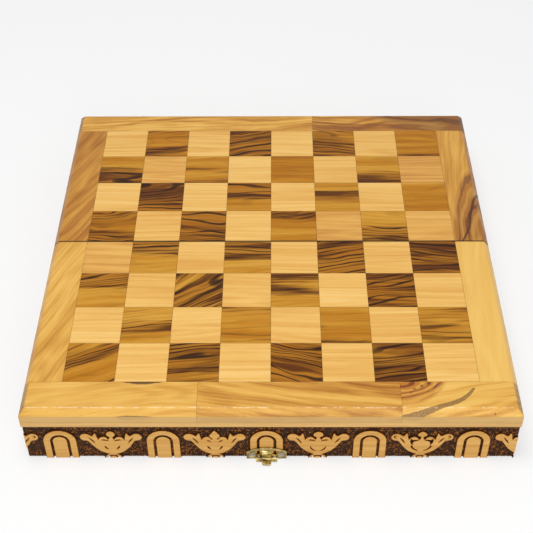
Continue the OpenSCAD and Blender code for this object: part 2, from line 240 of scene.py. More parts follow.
def bent(tree, grain, look, amount=None):
    # the lines wander across the grain by a slow noise
    wander = maths(tree, "SUBTRACT", noiseAt(tree, grain, look["bendRate"], 3.0), 0.5)
    wander = maths(tree, "MULTIPLY", wander, look["bend"])
    if amount is not None:
        wander = maths(tree, "MULTIPLY", wander, amount)
    shift = node(tree, "CombineXYZ", {1: wander}).outputs[0]
    return node(tree, "VectorMath", {0: grain, 1: shift}, operation="ADD").outputs[0]


def varnishHeight(tree, fibre):
    # slow ripples of the varnish over the fine lines of the wood
    place = node(tree, "TexCoord").outputs["Object"]
    ripple = noiseAt(tree, place, (420, 420, 420))
    return maths(tree, "ADD", maths(tree, "MULTIPLY", fibre, 0.35), ripple)


def varnishRough(tree, fibre, look):
    # duller where the fibres stand open
    return maths(tree, "ADD", maths(tree, "MULTIPLY", fibre, 0.16), look["rough"] - 0.08)


def contourLines(tree, grain, rate, turns, pitch=0.0):
    # sine of a slow noise, whose equal values run as growth lines along the grain, plus an
    # even count of radians per millimetre across the grain
    slow = maths(tree, "MULTIPLY", noiseAt(tree, grain, rate, 2.0, 0.45), turns)
    across = node(tree, "SeparateXYZ", {0: grain}).outputs[1]
    return maths(tree, "SINE", plus(tree, slow, across, pitch))


def paleFigure(tree, grain, look):
    # bands, lines, fibres and rings of one wood, added up, spread by the gain and coloured by a ramp
    fibre = noiseAt(tree, grain, look["fibreRate"], 2.0, 0.6)
    value = maths(tree, "MULTIPLY", noiseAt(tree, grain, look["bandRate"], 3.0, 0.55), look["band"])
    value = plus(tree, value, noiseAt(tree, grain, look["lineRate"]), look["line"])
    value = plus(tree, value, fibre, look["fibre"])
    value = plus(tree, value, contourLines(tree, grain, look["ringRate"], look["ringTurns"]), look["ring"])
    value = maths(tree, "MULTIPLY", maths(tree, "SUBTRACT", value, 0.5), look["gain"])
    value = maths(tree, "ADD", maths(tree, "MULTIPLY", value, attribute(tree, "figure")), 0.5)
    value = plus(tree, value, attribute(tree, "tone"), look["tone"])
    return ramp(tree, value, look["stops"]), fibre


def jointDarkAndSeamShade(tree, colour, amount):
    # rim is 0.3 plus the millimetres to a glue line, and 0 along the seam, where painted shade darkens the
    # edge beyond the dark gap between the halves
    shade = greyRamp(tree, attribute(tree, "rim"), (0.0, glueAndSeamShade["seamShade"]),
                     (glueAndSeamShade["at"], 1 - amount), (glueAndSeamShade["end"], 1))
    return shaded(tree, colour, shade)


def heartwood(tree, grain, colour):
    # orange brown with thin growth lines that follow the stain's own outline
    stain = attribute(tree, "stain")
    figure = noiseAt(tree, grain, heart["rate"], 3.0, 0.5)
    turns = maths(tree, "MULTIPLY", attribute(tree, "dense"), heart["turns"])
    phase = plus(tree, maths(tree, "MULTIPLY", stain, turns), figure, heart["wander"])
    rings = maths(tree, "ADD", maths(tree, "MULTIPLY", maths(tree, "SINE", phase), 0.5), 0.5)
    brown = ramp(tree, rings, [(0.0, heart["light"]), (0.45, heart["middle"]), (0.86, heart["middle"]),
                               (0.97, heart["dark"])], smooth=True)
    toned = maths(tree, "ADD", maths(tree, "MULTIPLY", attribute(tree, "tone"), 0.5), 1.0)
    brown = shaded(tree, brown, greyRamp(tree, toned, (0.0, 0.5), (1.0, 1)))
    edge = plus(tree, stain, figure, heart["edgeWander"])
    return mixed(tree, greyRamp(tree, edge, (0.46, 0), (0.52, 0.8), (0.9, 1)), colour, brown)


def markedWood(tree, grain, colour):
    # the dark vein, then knots and bark with outlines that a speckle breaks up
    vein = greyRamp(tree, attribute(tree, "vein"), (0.1, 0), (0.8, 0.9))
    colour = mixed(tree, vein, colour, marks["vein"])
    speckle = noiseAt(tree, grain, marks["speckleRate"], 3.0, 0.7)
    knots = plus(tree, attribute(tree, "knot"), speckle, marks["speckle"])
    colour = mixed(tree, greyRamp(tree, knots, (0.50, 0), (0.95, 0.9)), colour, marks["knot"])
    bark = ramp(tree, speckle, [(0.36, marks["barkDark"]), (0.62, marks["bark"])])
    worn = plus(tree, attribute(tree, "bark"), speckle, marks["speckle"])
    return mixed(tree, greyRamp(tree, worn, (0.42, 0), (0.60, 0.95)), colour, bark)


def edgedWood(tree, colour):
    # a bevel across the ends of the fibres is darker, and its upper edge carries a painted
    # highlight in pale dashes
    o = outerEdge
    colour = shaded(tree, colour, greyRamp(tree, attribute(tree, "end"), (0, 1), (1, o["endShade"])))
    place = node(tree, "TexCoord").outputs["Object"]
    # painted highlight: pale dashes along the arris
    paintedHighlightDash = greyRamp(tree, noiseAt(tree, place, o["dashRate"], 3.0, 0.7), (0.46, 0), (0.58, 0.5))
    colour = mixed(tree, maths(tree, "MULTIPLY", attribute(tree, "arris"), paintedHighlightDash), colour, o["arris"])
    # the upright edge below the bevel is greyer, with a dark glue line at its foot
    height = node(tree, "SeparateXYZ", {0: place}).outputs[2]
    height = maths(tree, "MULTIPLY", height, 1 / (o["range"] * mm))
    bevel, glue = ([z / o["range"] for z in o[key]] for key in ("bevel", "glue"))
    upright = greyRamp(tree, height, (bevel[0], o["sideShare"]), (bevel[1], 0))
    colour = mixed(tree, upright, colour, o["side"])
    return shaded(tree, colour, greyRamp(tree, height, (glue[0], o["glueShade"]), (glue[1], 1)))


def paleWood(name, look, fromAttribute=True, stained=False):
    # one of the pale woods; stained ones carry heart figure, knots, bark and a painted highlight on the
    # arris
    material, tree = newMaterial(name)
    wander = attribute(tree, "figure") if stained else None
    grain = bent(tree, grainVector(tree, fromAttribute), look, wander)
    colour, fibre = paleFigure(tree, grain, look)
    if stained:
        colour = heartwood(tree, grain, colour)
        colour = markedWood(tree, grain, colour)
        colour = edgedWood(tree, colour)
    if fromAttribute:
        colour = jointDarkAndSeamShade(tree, colour, 0.3 if stained else 0.5)
    rough = varnishRough(tree, fibre, look)
    if stained:
        rough = maths(tree, "SUBTRACT", rough, maths(tree, "MULTIPLY", attribute(tree, "arris"), 0.08))
    finishSurface(tree, colour, rough, varnishHeight(tree, fibre), 0.03, IOR=1.5, Specular_IOR_Level=0.3)
    return material


def oliveWood(name, look):
    # tan ground, browner where a slow zone noise and the square's own density allow it, with
    # dark growth lines and fine streaks that are strongest in those zones
    material, tree = newMaterial(name)
    grain = bent(tree, grainVector(tree, True), look, attribute(tree, "figure"))
    fibre = noiseAt(tree, grain, look["fibreRate"], 2.0, 0.6)
    base = maths(tree, "MULTIPLY", noiseAt(tree, grain, look["baseRate"], 3.0, 0.6), 1 - look["fibre"])
    base = plus(tree, base, fibre, look["fibre"])
    base = plus(tree, base, attribute(tree, "tone"), look["tone"])
    colour = ramp(tree, base, look["plain"])
    zone = maths(tree, "ADD", noiseAt(tree, grain, look["zoneRate"], 3.0, 0.5), attribute(tree, "dense"))
    zone = greyRamp(tree, zone, (0.88, 0), (1.06, 1))
    colour = mixed(tree, maths(tree, "MULTIPLY", zone, look["brownShare"]), colour, look["brown"])
    streak = noiseAt(tree, grain, look["streakRate"], 5.0, 0.62)
    fine = greyRamp(tree, streak, (0.50, 0), (0.64, 0.8))
    smear = noiseAt(tree, grain, look["smearRate"], 3.0, 0.6)
    smear = greyRamp(tree, smear, (0.47, 0), (0.60, 0.95))
    for layer in (fine, smear):
        colour = mixed(tree, maths(tree, "MULTIPLY", layer, zone), colour, look["dark"])
    lines = contourLines(tree, grain, look["ringRate"], look["ringTurns"], look["ringPitch"])
    lines = maths(tree, "MULTIPLY", plus(tree, lines, streak, 1.2), 0.5)
    lines = greyRamp(tree, lines, (0.56, 0), (0.68, 0.8), (0.80, 1))
    keep = maths(tree, "ADD", maths(tree, "MULTIPLY", zone, 0.80), 0.14)
    colour = mixed(tree, maths(tree, "MULTIPLY", lines, keep), colour, look["darkest"])
    colour = jointDarkAndSeamShade(tree, colour, 0.5)
    rough = varnishRough(tree, fibre, look)
    finishSurface(tree, colour, rough, varnishHeight(tree, fibre), 0.03, IOR=1.5, Specular_IOR_Level=0.12)
    return material


carvedLook = dict(borderLook, bend=7, bandRate=(0.004, 0.26, 0.2), lineRate=(0.006, 0.8, 0.5), line=0.3,
                  ringRate=(0.003, 0.06, 0.05), ring=0.05, gain=1.1,
                  stops=[(0.18, linear(184, 126, 58)), (0.42, linear(206, 154, 80)),
                         (0.60, linear(218, 170, 96)), (0.84, linear(230, 188, 118))])
carving = {"ground": linear(58, 34, 18), "pit": linear(10, 6, 4), "fleck": linear(172, 104, 38),
           "amber": linear(166, 92, 28), "slit": linear(40, 21, 9), "grain": (0.75, 0.62, 0.7),
           "cloud": (0.12, 0.12, 0.12)}


def carvedWood(name):
    # relief runs from 0 on the cut ground to 1 on the face, pit marks the punch dots and
    # fleck the raised grains that caught less stain
    material, tree = newMaterial(name)
    grain = bent(tree, grainVector(tree, True), carvedLook)
    wood, fibre = paleFigure(tree, grain, carvedLook)
    fleck = noiseAt(tree, grain, carving["grain"], 2.0, 0.6)
    fleck = plus(tree, fleck, attribute(tree, "fleck"), 0.1)
    fleck = greyRamp(tree, fleck, (0.57, 0), (0.70, 0.8))
    ground = mixed(tree, fleck, carving["ground"], carving["fleck"])
    pit = greyRamp(tree, attribute(tree, "pit"), (0.05, 0), (0.45, 1))
    colour = mixed(tree, pit, ground, carving["pit"])
    relief = attribute(tree, "relief")
    for start, end, layer in ((0.05, 0.35, carving["slit"]), (0.60, 0.86, carving["amber"]),
                              (0.86, 0.97, wood)):
        colour = mixed(tree, greyRamp(tree, relief, (start, 0), (end, 1)), colour, layer)
    rough = greyRamp(tree, relief, (0.0, 0.42), (0.3, 0.25), (0.7, 0.3), (1.0, 0.42))
    cloud = noiseAt(tree, grain, carving["cloud"], 3.0, 0.6)
    height = maths(tree, "ADD", varnishHeight(tree, fibre), cloud)
    finishSurface(tree, colour, rough, height, 0.04, IOR=1.5, Specular_IOR_Level=0.08)
    return material


metals = {"brass": {"light": linear(202, 184, 126), "dark": linear(118, 98, 52), "rough": 0.30},
          "steel": {"light": linear(196, 192, 180), "dark": linear(112, 107, 96), "rough": 0.28}}


def metal(name, look):
    # tarnish clouds and fine rubbing marks over bare metal
    material, tree = newMaterial(name)
    place = node(tree, "TexCoord").outputs["Object"]
    cloud = noiseAt(tree, place, (260, 260, 260), 4.0, 0.6)
    rub = noiseAt(tree, place, (300, 2600, 2600), 3.0, 0.6)
    colour = mixed(tree, greyRamp(tree, cloud, (0.35, 0), (0.62, 1)), look["dark"], look["light"])
    rough = maths(tree, "ADD", maths(tree, "MULTIPLY", cloud, 0.18), look["rough"] - 0.08)
    height = maths(tree, "ADD", maths(tree, "MULTIPLY", rub, 0.3), cloud)
    finishSurface(tree, colour, rough, height, 0.03, Metallic=1.0)
    return material


placeCamera(camera)
for lampName in ("top", "front"):
    areaLight(lampName, *studio[lampName])

world = bpy.data.worlds.new("studio")
bpy.context.scene.world = world
world.use_nodes = True
skyTree = world.node_tree
skyTree.nodes.clear()
ray = node(skyTree, "LightPath")
seen = maths(skyTree, "MAXIMUM", ray.outputs["Is Camera Ray"], ray.outputs["Is Transmission Ray"])
seen = maths(skyTree, "MAXIMUM", seen, ray.outputs["Is Glossy Ray"])
dim = node(skyTree, "Background", {"Color": (1, 1, 1, 1), "Strength": studio["world"]})
white = node(skyTree, "Background", {"Color": (1, 1, 1, 1), "Strength": 1.0})
sky = node(skyTree, "MixShader", {0: seen, 1: dim.outputs[0], 2: white.outputs[0]})
node(skyTree, "OutputWorld", {"Surface": sky.outputs[0]})

floorMaterial, floorTree = newMaterial("paleFloor")
floorRay = node(floorTree, "LightPath").outputs["Is Camera Ray"]
floorMatt = node(floorTree, "BsdfDiffuse", {"Color": floor["colour"]})
# a camera ray sees mostly the white beyond, and the lit floor with its shadow over it
clear = node(floorTree, "BsdfTransparent")
veil = maths(floorTree, "MULTIPLY", floorRay, 1 - floor["opacity"])
floorMix = node(floorTree, "MixShader", {0: veil, 1: floorMatt.outputs[0], 2: clear.outputs[0]})
node(floorTree, "OutputMaterial", {"Surface": floorMix.outputs[0]})
floorHalf, floorHeight = floor["half"] * mm, floor["height"] * mm
floorCorners = [(x * floorHalf, y * floorHalf, floorHeight) for x, y in ((-1, -1), (1, -1), (1, 1), (-1, 1))]
floorMesh = bpy.data.meshes.new("floor")
floorMesh.from_pydata(floorCorners, [], [(0, 1, 2, 3)])
floorMesh.materials.append(floorMaterial)
floorObject = bpy.data.objects.new("floor", floorMesh)
bpy.context.collection.objects.link(floorObject)
bpy.context.scene.view_settings.view_transform = "Standard"
print("camera, lamps and floor placed")

finishes = {
    "pale": paleWood("paleSquareWood", paleLook),
    "olive": oliveWood("oliveSquareWood", oliveLook),
    "border": paleWood("borderWood", borderLook, stained=True),
    "panel": paleWood("panelWood", panelLook),
    "plain": paleWood("plainWood", plainLook, fromAttribute=False),
    "carved": carvedWood("carvedWood"),
    "brass": metal("polishedBrass", metals["brass"]),
    "steel": metal("platedSteel", metals["steel"]),
}
print("finishes made:", len(finishes))


def camelName(nodeName):
    # front_left_board becomes frontLeftBoard
    first, *rest = nodeName.split("_")
    return first + "".join(word.capitalize() for word in rest)


def closedBlock(top, back, values):
    # a grid of surface points (u, v, w) becomes a block: the surface, straight sides
    # down to w = back, and a flat back
    nu, nv, _ = top.shape
    index = np.arange(nu * nv).reshape(nu, nv)
    ring = np.concatenate([index[:, 0], index[-1, 1:], index[-2::-1, -1], index[0, -2:0:-1]])
    lower = nu * nv + np.arange(len(ring))
    surface = top.reshape(-1, 3)
    foot = surface[ring].copy()
    foot[:, 2] = back
    quads = np.stack([index[:-1, :-1], index[1:, :-1], index[1:, 1:], index[:-1, 1:]], -1).reshape(-1, 4)
    sides = np.stack([ring, lower, np.roll(lower, -1), np.roll(ring, -1)], -1)
    flat = {k: np.concatenate([v.reshape(nu * nv, -1), v.reshape(nu * nv, -1)[ring]])
            for k, v in values.items()}
    flat["grain"][nu * nv:, 2] += back - surface[ring, 2]
    return {"points": np.concatenate([surface, foot]), "quads": np.concatenate([quads, sides]),
            "caps": [lower[::-1]], "values": flat}


def turned(block, axes, shift=(0, 0, 0)):
    # moves a block from its own (u, v, w) to x, y, z; axes are the three directions
    return dict(block, points=block["points"] @ np.array(axes, float) + np.array(shift, float))


def makePiece(nodeName, blocks, material, body, sharp=38):
    # blocks in millimetres, with their per-point values, become one mesh in metres that
    # stands for the CAD node
    counts = np.cumsum([0] + [len(b["points"]) for b in blocks])
    corners, sizes = [], []
    for b, start in zip(blocks, counts):
        corners.append((b["quads"] + start).ravel())
        sizes.append(np.full(len(b["quads"]), 4))
        for cap in b["caps"]:
            corners.append(cap + start)
            sizes.append(np.array([len(cap)]))
    corners, sizes = np.concatenate(corners), np.concatenate(sizes)
    mesh = bpy.data.meshes.new(camelName(nodeName))
    mesh.vertices.add(int(counts[-1]))
    points = np.concatenate([b["points"] for b in blocks]) * mm
    mesh.vertices.foreach_set("co", points.astype(np.float32).ravel())
    mesh.loops.add(len(corners))
    mesh.loops.foreach_set("vertex_index", corners.astype(np.int32))
    mesh.polygons.add(len(sizes))
    starts = np.concatenate([[0], np.cumsum(sizes)[:-1]])
    mesh.polygons.foreach_set("loop_start", starts.astype(np.int32))
    mesh.update(calc_edges=True)
    for key in blocks[0]["values"]:
        data = np.concatenate([b["values"][key] for b in blocks]).astype(np.float32)
        wide = data.shape[1] == 3
        layer = mesh.attributes.new(key, "FLOAT_VECTOR" if wide else "FLOAT", "POINT")
        layer.data.foreach_set("vector" if wide else "value", data.ravel())
    mesh.polygons.foreach_set("use_smooth", np.ones(len(sizes), bool))
    mesh.set_sharp_from_angle(angle=math.radians(sharp))
    mesh.validate()
    mesh.materials.append(material)
    piece = bpy.data.objects.new(camelName(nodeName), mesh)
    bpy.context.collection.objects.link(piece)
    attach(piece, body)
    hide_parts(nodeName)
    return piece


bevelLines = (0.8, 1.6, 2.4, 2.9, 3.2, 3.5, 3.8, 4.2, 5.0)  # the sixth lies on the arris


def edgeGrid(soft, wide):
    # distances from an edge: four on its rounding, then those of its bevel if it has one
    near = soft * (1 - np.cos(np.linspace(0, np.pi / 2, 4)))
    inner = np.array(bevelLines) * wide / bevelLines[5] if wide else np.array([0.6])
    return np.concatenate([near, inner[inner > soft]])


def linesBetween(low, high, step, lowEdge, highEdge):
    # grid lines: close together in the rounded or bevelled strip at each end, even between
    a, b = low + edgeGrid(*lowEdge), (high - edgeGrid(*highEdge))[::-1]
    count = max(2, int(round((b[0] - a[-1]) / step)) + 1)
    return np.concatenate([a[:-1], np.linspace(a[-1], b[0], count), b[1:]])


def softMin(a, b, width):
    # the lower of two heights, with the corner between them rounded
    return (a + b - np.sqrt((a - b) ** 2 + width ** 2)) / 2


def grainAt(x, y, z, angle, seed):
    # the point turned into the board's grain frame and moved to a place of its own in the noise
    spot = np.random.default_rng(seed).uniform(0, 3000, 3)
    a = math.radians(angle)
    along = x * math.cos(a) + y * math.sin(a)
    across = y * math.cos(a) - x * math.sin(a)
    return np.stack([along + spot[0], across + spot[1], z + spot[2]], -1)


# half the board's width, the depth of one half, and heights above the rims; seam is half the
# gap between the halves, faint is added to the distance from the arris of a side bevel, which weakens the
# painted highlight there
board = {"half": 150, "depth": 150, "square": 31.6, "low": 34.5, "top": 45, "panelLow": 30.5,
         "seam": 0.25, "bevelWidth": 3.5, "bevelDrop": 4.5, "joint": 0.10, "arris": 0.35, "round": 0.5,
         "faint": 0.25, "endFade": 0.25, "arrisWidth": 0.24, "sideTone": 0.2, "sideBark": 6}
far = 9.0  # a distance in millimetres past which nothing has an effect
nowhere = [(999, 999, 1), (999, 998, 1)]  # the bark or vein of a board that has none
evenZone = (0.5, far)


def streakAt(line, x, y):
    # 1 on the line through the points (x, y, half width), falling to 0 at its half width
    best = np.zeros(x.shape)
    line = np.array(line, float)
    for (ax, ay, aw), (bx, by, bw) in zip(line[:-1], line[1:]):
        ex, ey = bx - ax, by - ay
        t = np.clip(((x - ax) * ex + (y - ay) * ey) / (ex * ex + ey * ey), 0, 1)
        near = 1 - np.hypot(x - ax - t * ex, y - ay - t * ey) / (aw + t * (bw - aw))
        best = np.maximum(best, np.sqrt(np.clip(near, 0, 1)))
    return best


def spotsAt(spots, x, y):
    # the strongest of several bell-shaped spots (x, y, radii, turn, strength)
    best = np.zeros(x.shape)
    for cx, cy, rx, ry, turn, strength in spots:
        a = math.radians(turn)
        dx = ((x - cx) * math.cos(a) + (y - cy) * math.sin(a)) / rx
        dy = ((y - cy) * math.cos(a) - (x - cx) * math.sin(a)) / ry
        best = np.maximum(best, strength * np.exp(-dx ** 2 - dy ** 2))
    return best


def edgeRounding(gaps, edges):
    # how far each point lies below its plane: a quarter circle at the nearer edge each way
    lack = {k: np.clip(1 - gap / edges[k][0], 0, 1) for k, gap in gaps.items()}
    lackX, lackY = np.maximum(lack["x0"], lack["x1"]), np.maximum(lack["y0"], lack["y1"])
    softX = np.where(lack["x0"] > lack["x1"], edges["x0"][0], edges["x1"][0])
    softY = np.where(lack["y0"] > lack["y1"], edges["y0"][0], edges["y1"][0])
    soft = np.where(lackX > lackY, softX, softY)
    return soft * (1 - np.sqrt(np.clip(1 - lackX ** 2 - lackY ** 2, 0, 1)))


def bevelMarks(gaps, bevels, cutsFibres):
    # for each bevel, up to the hip where it meets another one: the arris is its upper edge, which gets a
    # painted highlight and a glossier varnish, and end is 1 on a bevel that cuts the ends of the fibres
    wide = board["bevelWidth"]
    shape = gaps["x0"].shape
    toArris, end = np.full(shape, far), np.zeros(shape)
    for k in bevels:
        others = [gaps[other] for other in bevels if other != k]
        nearest = np.minimum.reduce(others or [np.full(shape, far)])
        past = np.maximum(wide - nearest, 0)
        across = np.maximum(np.abs(gaps[k] - wide), past)
        toArris = np.minimum(toArris, across + board["faint"] * (k[0] == "x"))
        if k[0] == "x" and cutsFibres:
            inside = np.minimum(nearest, wide) - gaps[k]
            end = np.maximum(end, np.clip(inside / board["endFade"], 0, 1))
    return np.exp(-(toArris / board["arrisWidth"]) ** 2), end


def boardBlock(x0, x1, y0, y1, angle, seed, tone, bevels=(), free=(), low=board["low"], top=board["top"],
               step=1.6, figure=1.0, dense=0.5, zone=evenZone, spots=(), knots=(), bark=nowhere,
               vein=nowhere):
    # height = top, softly limited by each bevel's slope, minus a quarter circle at the
    # block's own edges; bevelled and free edges are outer ones, the rest are glued joints
    wide, drop = board["bevelWidth"], board["bevelDrop"]
    edges = {k: (board["joint"], 0) for k in ("x0", "x1", "y0", "y1")}
    edges.update({k: (board["arris"], 0) for k in free}, **{k: (board["arris"], wide) for k in bevels})
    xs = linesBetween(x0, x1, step, edges["x0"], edges["x1"])
    ys = linesBetween(y0, y1, step, edges["y0"], edges["y1"])
    x, y = np.meshgrid(xs, ys, indexing="ij")
    gaps = {"x0": x - x0, "x1": x1 - x, "y0": y - y0, "y1": y1 - y}
    height = np.full(x.shape, float(top))
    for k in bevels:
        height = softMin(height, top - drop + gaps[k] * drop / wide, board["round"])
    height -= edgeRounding(gaps, edges)
    # the rim value is low at glue lines and lowest along the seam, where it paints shade
    seam = [k for k, at in (("y0", y0), ("y1", y1)) if abs(at) == board["seam"]]
    rim = np.minimum.reduce([gap - glueAndSeamShade["worn"] if k in seam else gap + glueAndSeamShade["at"]
                             for k, gap in gaps.items() if k not in bevels and k not in free])
    arris, end = bevelMarks(gaps, bevels, abs(angle) < 45)
    depth = (y - y0) / (y1 - y0) - zone[0]
    values = {"grain": grainAt(x, y, height, angle, seed), "tone": np.full(x.shape, float(tone)),
              "rim": np.clip(rim, 0, 1), "figure": np.full(x.shape, float(figure)),
              "dense": 0.2 + (dense - 0.2) * np.exp(-(depth / zone[1]) ** 2),
              "stain": spotsAt(spots, x, y), "knot": spotsAt(knots, x, y), "bark": streakAt(bark, x, y),
              "vein": streakAt(vein, x, y), "end": end, "arris": arris}
    block = closedBlock(np.stack([x, y, height], -1), low, values)
    foot, sides = block["points"][x.size:], {k: v[x.size:] for k, v in block["values"].items()}
    sides["tone"] -= board["sideTone"]
    sides["knot"][:] = 0
    # down the sides the bark goes on as if they were folded out, and the painted shade along the
    # seam ends less than a millimetre down
    sides["bark"][:, 0] = streakAt(bark, foot[:, 0], foot[:, 1] - board["sideBark"])
    sides["rim"][np.abs(foot[:, 1]) < board["seam"] + 0.01] = far
    return block


# turn in degrees, wander, density and tone of the dark squares, by file and rank from the
# near left corner; "bands" puts the dark lines of some in a strip: its middle and half depth
# in shares of the square; "orange" is the tone of pale squares that are oranger than the rest
squareWood = {
    "seed": 41, "grainSeed": 1000, "step": 4, "paleTurn": 1.5, "paleTone": (-0.25, 0.6),
    "dark": {
        (0, 4): (4, 2.0, 0.46, -0.4), (2, 4): (-6, 1.2, 0.60, -0.3), (4, 4): (0, 1.6, 0.50, -0.2),
        (6, 4): (-5, 1.0, 0.72, 0.6), (1, 5): (3, 1.3, 0.64, -0.3), (3, 5): (0, 0.5, 0.64, 0.1),
        (5, 5): (2, 0.3, 0.76, 0.2), (7, 5): (0, 0.2, 0.18, -0.3), (1, 3): (3, 0.8, 0.62, 0.5),
        (3, 3): (2, 0.5, 0.72, 0.5), (5, 3): (12, 1.2, 0.60, 0.0), (7, 3): (-3, 0.6, 0.58, -0.2),
        (0, 2): (4, 0.8, 0.66, 0.4), (2, 2): (38, 1.6, 0.54, 0.3), (4, 2): (0, 0.5, 0.55, 0.5),
        (6, 2): (-2, 0.6, 0.62, -0.1), (1, 1): (5, 0.8, 0.44, 0.6), (3, 1): (0, 0.4, 0.40, 0.2),
        (5, 1): (0, 0.3, 0.36, 0.0), (7, 1): (3, 0.6, 0.46, 0.3), (0, 0): (28, 1.2, 0.46, -0.2),
        (2, 0): (8, 0.8, 0.50, 0.4), (4, 0): (-15, 1.8, 0.62, -0.2), (6, 0): (5, 1.0, 0.54, 0.3),
        (0, 6): (0, 1.6, 0.66, 0.0), (2, 6): (5, 0.6, 0.36, 0.1), (4, 6): (0, 0.2, 0.20, -0.7),
        (6, 6): (0, 0.5, 0.66, 0.3), (1, 7): (3, 0.6, 0.46, -0.5), (3, 7): (10, 1.5, 0.62, -0.2),
        (5, 7): (-5, 1.0, 0.50, -0.3), (7, 7): (0, 0.5, 0.34, -0.6)},
    "bands": {
        (4, 4): (1.0, 0.3), (6, 4): (0.22, 0.26), (3, 5): (0.75, 0.4), (5, 5): (0.52, 0.16),
        (1, 3): (0.8, 0.42), (3, 3): (0.82, 0.36), (0, 2): (0.8, 0.4), (0, 6): (0.1, 0.35),
        (6, 6): (0.05, 0.3), (4, 2): (0.7, 0.5)},
    "orange": {(0, 3): -0.9, (5, 4): -1.5, (7, 4): -0.9, (7, 6): -1.5, (1, 6): -1.0}}
dice = np.random.default_rng(squareWood["seed"])
reach = 4 * board["square"]
for side in (-1, 1):
    blocks = {True: [], False: []}
    for rank in range(4):
        for file in range(8):
            row = 3 - rank if side == -1 else 4 + rank
            dark = (file + row) % 2 == 0
            near = board["seam"] + rank * board["square"]
            y0, y1 = sorted((side * near, side * (near + board["square"])))
            x0 = file * board["square"] - reach
            turn, figure, dense = dice.normal(0, squareWood["paleTurn"]), 1.0, 0.5
            tone = dice.uniform(*squareWood["paleTone"])
            if dark:
                turn, figure, dense, tone = squareWood["dark"][file, row]
            tone = squareWood["orange"].get((file, row), tone)
            zone = squareWood["bands"].get((file, row), evenZone)
            seed = squareWood["grainSeed"] + row * 8 + file
            block = boardBlock(x0, x0 + board["square"], y0, y1, turn, seed, tone, figure=figure,
                               dense=dense, step=squareWood["step"], zone=zone)
            blocks[dark].append(block)
    makePiece(f"{words[side]}_dark_squares", blocks[True], finishes["olive"], bodies[side])
    makePiece(f"{words[side]}_light_squares", blocks[False], finishes["pale"], bodies[side])
print("squares laid")


left, right = -board["half"], board["half"]
seamLine, edgeLine, outerLine = board["seam"], board["seam"] + reach, board["depth"]
# x is measured to the right and y away from the seam, spots, knots, bark and vein lie in x, y
borderBoards = [
    # on the front left board the vein is a dark mark along its inner edge, at the joint with the squares
    {"node": "front_left_board", "side": -1, "x": (left, -44), "y": (edgeLine, outerLine), "angle": 6,
     "seed": 11, "tone": -0.1, "bevels": ("x0", "out"), "step": 1.0, "figure": 0.7,
     "vein": [(-89, -126.7, 0.5), (-81, -127.3, 2.0), (-75, -127.3, 2.0), (-66, -126.7, 0.5)],
     "bark": [(-94, -150.9, 0.9), (-86, -150.5, 1.0), (-77, -150.9, 1.3), (-68, -151.3, 1.4),
              (-60, -151.8, 1.3)]},
    {"node": "front_middle_board", "side": -1, "x": (-44, 78), "y": (edgeLine, outerLine), "angle": -9,
     "seed": 12, "tone": -0.95, "bevels": ("out",), "figure": 0.85},
    {"node": "front_right_board", "side": -1, "x": (78, right), "y": (edgeLine, outerLine), "angle": 12,
     "seed": 13, "tone": 0.05, "bevels": ("x1", "out"), "spots": [(78, -122, 29.5, 24.3, 0, 1.0)],
     "step": 0.55,
     "knots": [(95.4, -128, 1.6, 1.2, 30, 0.9), (91, -130, 1.8, 1.2, 30, 0.8),
               (86.5, -132.3, 1.8, 1.2, 30, 0.7), (84, -135, 1.6, 1.1, 30, 0.7),
               (99.6, -130, 4.2, 0.7, 49, 0.9), (133, -148.9, 0.5, 0.5, 0, 1.4)],
     "bark": [(72, -153.0, 3.0), (78.3, -151.8, 2.7), (83.7, -150.2, 2.0), (89.6, -148.9, 1.6),
              (95.6, -147.4, 1.5), (101.6, -145.3, 1.7), (106.6, -143.9, 1.8), (110.9, -142.1, 1.8),
              (114.5, -140.1, 1.6), (117.6, -137.5, 1.4), (119.9, -134.9, 1.2), (121.9, -132.2, 0.9)]},
    {"node": "rear_left_board", "side": 1, "x": (left, 32), "y": (edgeLine, outerLine), "angle": 5,
     "seed": 14, "tone": -1.2, "bevels": ("x0", "out"), "figure": 1.2},
    {"node": "rear_right_board", "side": 1, "x": (32, right), "y": (edgeLine, outerLine), "angle": -8,
     "seed": 15, "tone": -1.8, "bevels": ("x1", "out"), "figure": 1.5, "dense": 0.3,
     "spots": [(128, 168, 70, 44, -12, 1.0)]},
    {"node": "front_left_border", "side": -1, "x": (left, -reach), "y": (seamLine, edgeLine), "angle": 66,
     "seed": 16, "tone": -0.5, "bevels": ("x0",), "figure": 0.75},
    {"node": "front_right_border", "side": -1, "x": (reach, right), "y": (seamLine, edgeLine), "angle": 84,
     "seed": 17, "tone": 0.9, "bevels": ("x1",), "figure": 0.55},
    {"node": "rear_left_border", "side": 1, "x": (left, -reach), "y": (seamLine, edgeLine), "angle": 62,
     "seed": 18, "tone": -1.7, "bevels": ("x0",), "figure": 0.6},
    {"node": "rear_right_border", "side": 1, "x": (reach, right), "y": (seamLine, edgeLine), "angle": 84,
     "seed": 19, "tone": -1.0, "bevels": ("x1",), "figure": 0.7, "dense": 0.35, "step": 0.8,
     "spots": [(155, 5, 30, 78, 0, 1.0), (159, 90, 13, 60, 0, 1.0)],
     "vein": [(131, -2, 0.9), (138.2, 13.5, 1.1), (140.7, 28.3, 1.3), (144.9, 43.6, 1.2), (151, 56, 1.0)]},
]
borderBoardOptions = ("figure", "spots", "bark", "step", "knots", "dense", "vein")
for b in borderBoards:
    side = b["side"]
    y0, y1 = sorted(side * y for y in b["y"])
    outer = "y0" if side == -1 else "y1"
    bevels = tuple(outer if k == "out" else k for k in b["bevels"])
    options = {k: b[k] for k in borderBoardOptions if k in b}
    block = boardBlock(*b["x"], y0, y1, b["angle"], b["seed"], b["tone"], bevels, **options)
    makePiece(b["node"], [block], finishes["border"], bodies[side])
print("border boards laid")


